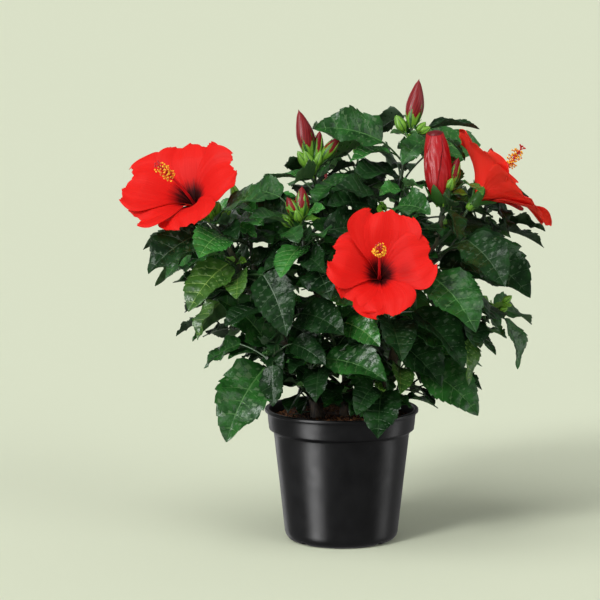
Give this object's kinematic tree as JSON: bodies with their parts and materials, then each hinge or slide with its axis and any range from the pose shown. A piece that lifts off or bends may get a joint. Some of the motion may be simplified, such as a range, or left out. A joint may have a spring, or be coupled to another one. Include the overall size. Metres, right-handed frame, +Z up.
{
  "type": "potted shrub",
  "caption": "Hibiscus shrub in flower in a round plastic nursery pot: woody stems, leafy shoots, buds and wide open red blooms.",
  "frame": {"origin": "centre of the pot's flat underside", "axes": "+Z up along the pot's axis, -Y towards the side with the front bloom, +X to that side's right"},
  "size_m": [0.4697, 0.3581, 0.5101],
  "materials": {
    "pot_plastic": "moulded black plastic, slightly shiny",
    "compost": "damp peat compost",
    "stem_bark": "smooth grey-brown bark",
    "bough_bark": "green-brown young bark",
    "leaf": "glossy dark green leaf",
    "petal": "velvety red petal"
  },
  "bodies": {
    "root": {"bloom_front": "petal", "bloom_left": "petal", "bloom_right": "petal", "bough_back": "bough_bark", "bough_back_left": "bough_bark", "bough_back_right": "bough_bark", "bough_back_top": "bough_bark", "bough_front": "bough_bark", "bough_front_left": "bough_bark", "bough_left": "bough_bark", "bough_left_mid": "bough_bark", "bough_left_upper": "bough_bark", "bough_right_back": "bough_bark", "bough_right_low": "bough_bark", "bough_right_top": "bough_bark", "bough_top": "bough_bark", "bough_top_left": "bough_bark", "compost": "compost", "foliage_back": "leaf", "foliage_back_left": "leaf", "foliage_back_left_low": "leaf", "foliage_back_low": "leaf", "foliage_back_right": "leaf", "foliage_back_right_low": "leaf", "foliage_back_top": "leaf", "foliage_centre": "leaf", "foliage_centre_left": "leaf", "foliage_centre_top": "leaf", "foliage_front": "leaf", "foliage_front_left": "leaf", "foliage_left_low": "leaf", "foliage_left_mid": "leaf", "foliage_left_top": "leaf", "foliage_left_upper": "leaf", "foliage_low_middle": "leaf", "foliage_low_right": "leaf", "foliage_right_back": "leaf", "foliage_right_low": "leaf", "foliage_right_mid": "leaf", "foliage_right_top": "leaf", "foliage_right_upper": "leaf", "foliage_skirt": "leaf", "foliage_skirt_left": "leaf", "foliage_skirt_middle": "leaf", "foliage_skirt_right": "leaf", "foliage_top": "leaf", "foliage_top_left": "leaf", "pot": "pot_plastic", "stem_left": "stem_bark", "stem_middle": "stem_bark", "stem_right": "stem_bark"}
  },
  "joints": []
}
